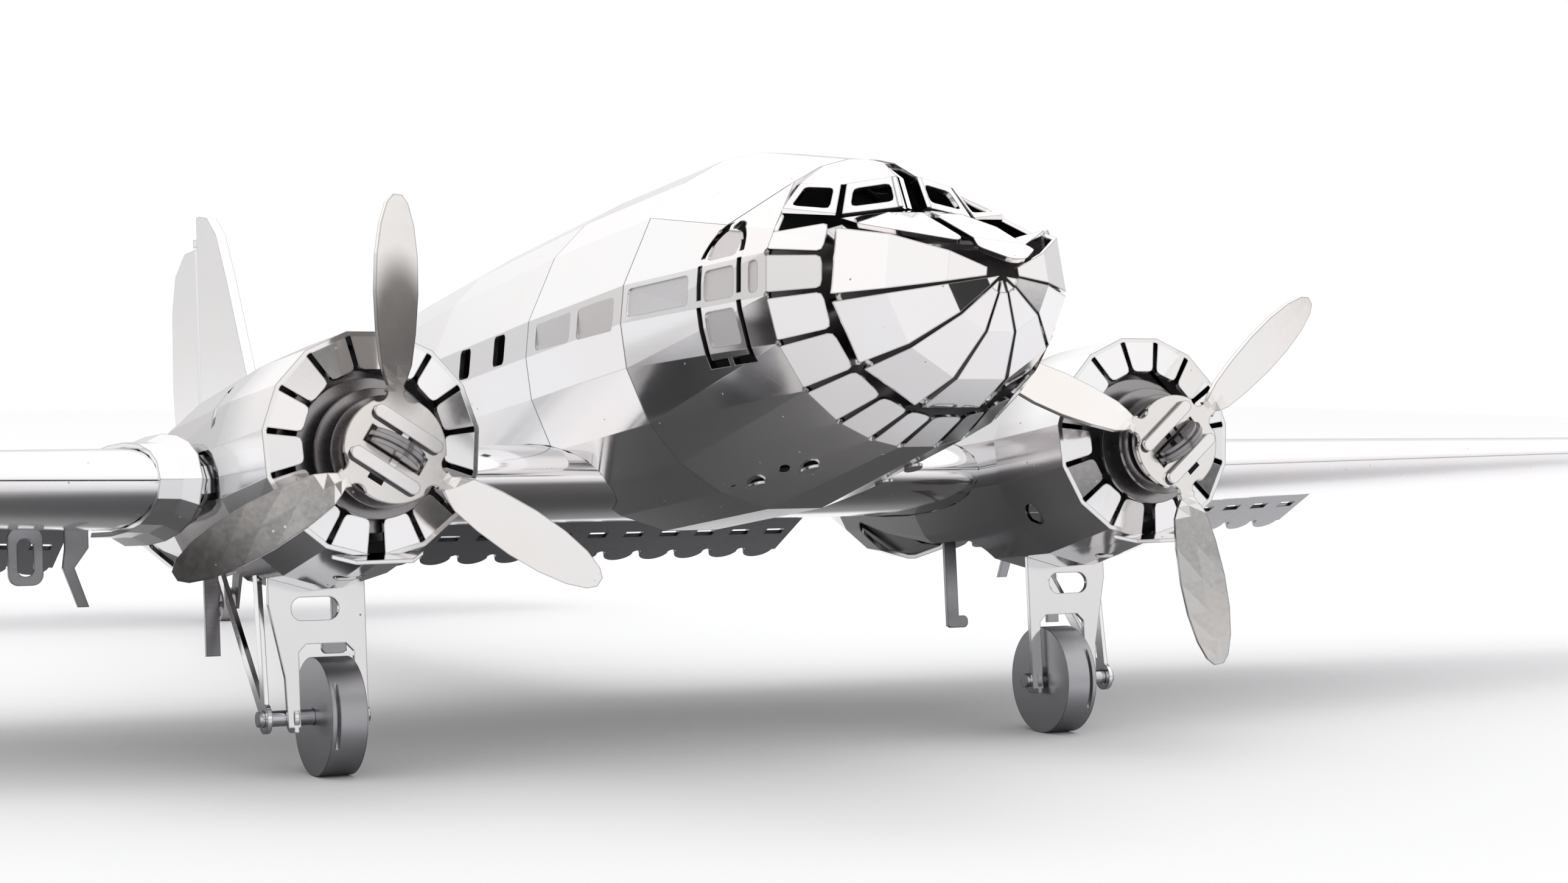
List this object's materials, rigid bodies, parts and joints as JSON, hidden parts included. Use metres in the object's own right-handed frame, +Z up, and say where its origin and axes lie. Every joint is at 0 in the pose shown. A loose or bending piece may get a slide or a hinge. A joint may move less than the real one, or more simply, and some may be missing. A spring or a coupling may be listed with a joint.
{
  "type": "model airplane kit",
  "caption": "Polished steel tab-and-slot model of a tail-wheel propeller airliner with turning propellers, rolling wheels, hinged flaps, ailerons, rudder and elevators.",
  "frame": {"origin": "on the floor, centre of the footprint of the aircraft standing on its three wheels", "axes": "+X along the wing towards the right seen facing the nose, +Y from the nose to the tail, +Z up"},
  "size_m": [0.3796, 0.259, 0.0637],
  "materials": {
    "polished_sheet": "polished",
    "skin_sheet": "satin polished",
    "wing_sheet": "satin polished",
    "inner_sheet": "satin, dark",
    "wheel_steel": "satin",
    "rod_steel": "drawn wire"
  },
  "bodies": {
    "airframe": {"forward_skin": "polished_sheet", "nose_cap": "polished_sheet", "brow_plates": "polished_sheet", "cockpit_canopy": "polished_sheet", "shoulder_skin": "skin_sheet", "cabin_skin": "skin_sheet", "tail_cone": "skin_sheet", "nose_bulkhead": "inner_sheet", "cabin_bulkhead": "inner_sheet", "tail_bulkhead": "inner_sheet", "centre_wing": "wing_sheet", "left_wing": "wing_sheet", "right_wing": "wing_sheet", "left_cuff": "polished_sheet", "right_cuff": "polished_sheet", "left_guides": "wing_sheet", "right_guides": "wing_sheet", "flap_rods": "rod_steel", "aileron_rods": "rod_steel", "left_nacelle": "polished_sheet", "right_nacelle": "polished_sheet", "left_firewall": "inner_sheet", "right_firewall": "inner_sheet", "left_engine": "inner_sheet", "right_engine": "inner_sheet", "left_shaft": "rod_steel", "right_shaft": "rod_steel", "left_leg": "polished_sheet", "right_leg": "polished_sheet", "left_brace": "polished_sheet", "right_brace": "polished_sheet", "left_strips": "wing_sheet", "right_strips": "wing_sheet", "left_axle": "rod_steel", "right_axle": "rod_steel", "fin": "skin_sheet", "rudder_rod": "rod_steel", "tailplane": "skin_sheet", "elevator_rod": "rod_steel", "tail_fork": "inner_sheet", "tail_axle": "rod_steel"},
    "left_propeller": {"left_propeller": "polished_sheet", "left_retainer": "polished_sheet", "left_spinner": "inner_sheet"},
    "right_propeller": {"right_propeller": "polished_sheet", "right_retainer": "polished_sheet", "right_spinner": "inner_sheet"},
    "left_wheel": {"left_wheel": "wheel_steel"},
    "right_wheel": {"right_wheel": "wheel_steel"},
    "tail_wheel": {"tail_wheel": "wheel_steel"},
    "rudder": {"rudder": "skin_sheet"},
    "elevators": {"elevators": "skin_sheet"},
    "centre_flap": {"centre_flap": "wing_sheet"},
    "left_flap": {"left_flap": "wing_sheet"},
    "right_flap": {"right_flap": "wing_sheet"},
    "left_aileron": {"left_aileron": "wing_sheet"},
    "right_aileron": {"right_aileron": "wing_sheet"}
  },
  "joints": [
    {"name": "left_propeller_spin", "type": "hinge", "parent": "airframe", "child": "left_propeller", "pos_m": [-0.0444, -0.09269, 0.03357], "axis": [0, 0.9943, -0.1062], "continuous": true},
    {"name": "right_propeller_spin", "type": "hinge", "parent": "airframe", "child": "right_propeller", "pos_m": [0.0444, -0.09269, 0.03357], "axis": [0, 0.9943, -0.1062], "continuous": true},
    {"name": "left_wheel_roll", "type": "hinge", "parent": "airframe", "child": "left_wheel", "pos_m": [-0.0431, -0.07089, 0.006], "axis": [1, 0, 0], "continuous": true},
    {"name": "right_wheel_roll", "type": "hinge", "parent": "airframe", "child": "right_wheel", "pos_m": [0.0431, -0.07089, 0.006], "axis": [1, 0, 0], "continuous": true},
    {"name": "tail_wheel_roll", "type": "hinge", "parent": "airframe", "child": "tail_wheel", "pos_m": [0, 0.10313, 0.0026], "axis": [1, 0, 0], "continuous": true},
    {"name": "rudder_hinge", "type": "hinge", "parent": "airframe", "child": "rudder", "pos_m": [0, 0.1137, 0.02622], "axis": [0, 0.1062, 0.9943], "range_deg": [-25, 25]},
    {"name": "elevator_hinge", "type": "hinge", "parent": "airframe", "child": "elevators", "pos_m": [0, 0.11509, 0.02043], "axis": [-1, 0, 0], "range_deg": [-25, 25]},
    {"name": "centre_flap_hinge", "type": "hinge", "parent": "airframe", "child": "centre_flap", "pos_m": [0, -0.02821, 0.02406], "axis": [-1, 0, 0], "range_deg": [-25, 18]},
    {"name": "left_flap_hinge", "type": "hinge", "parent": "airframe", "child": "left_flap", "pos_m": [-0.0584, -0.02813, 0.02412], "axis": [-0.9986, 0.04, 0.0344], "range_deg": [-25, 18]},
    {"name": "right_flap_hinge", "type": "hinge", "parent": "airframe", "child": "right_flap", "pos_m": [0.0584, -0.02813, 0.02412], "axis": [-0.9986, -0.04, -0.0344], "range_deg": [-25, 18]},
    {"name": "left_aileron_hinge", "type": "hinge", "parent": "airframe", "child": "left_aileron", "pos_m": [-0.1186, -0.02564, 0.02695], "axis": [-0.999, 0.0389, 0.0239], "range_deg": [-20, 20]},
    {"name": "right_aileron_hinge", "type": "hinge", "parent": "airframe", "child": "right_aileron", "pos_m": [0.1186, -0.02564, 0.02695], "axis": [-0.999, -0.0389, -0.0239], "range_deg": [-20, 20]}
  ],
  "couplings": [
    {"joint": "left_flap_hinge", "follows": "centre_flap_hinge", "ratio": 1},
    {"joint": "right_flap_hinge", "follows": "centre_flap_hinge", "ratio": 1}
  ]
}
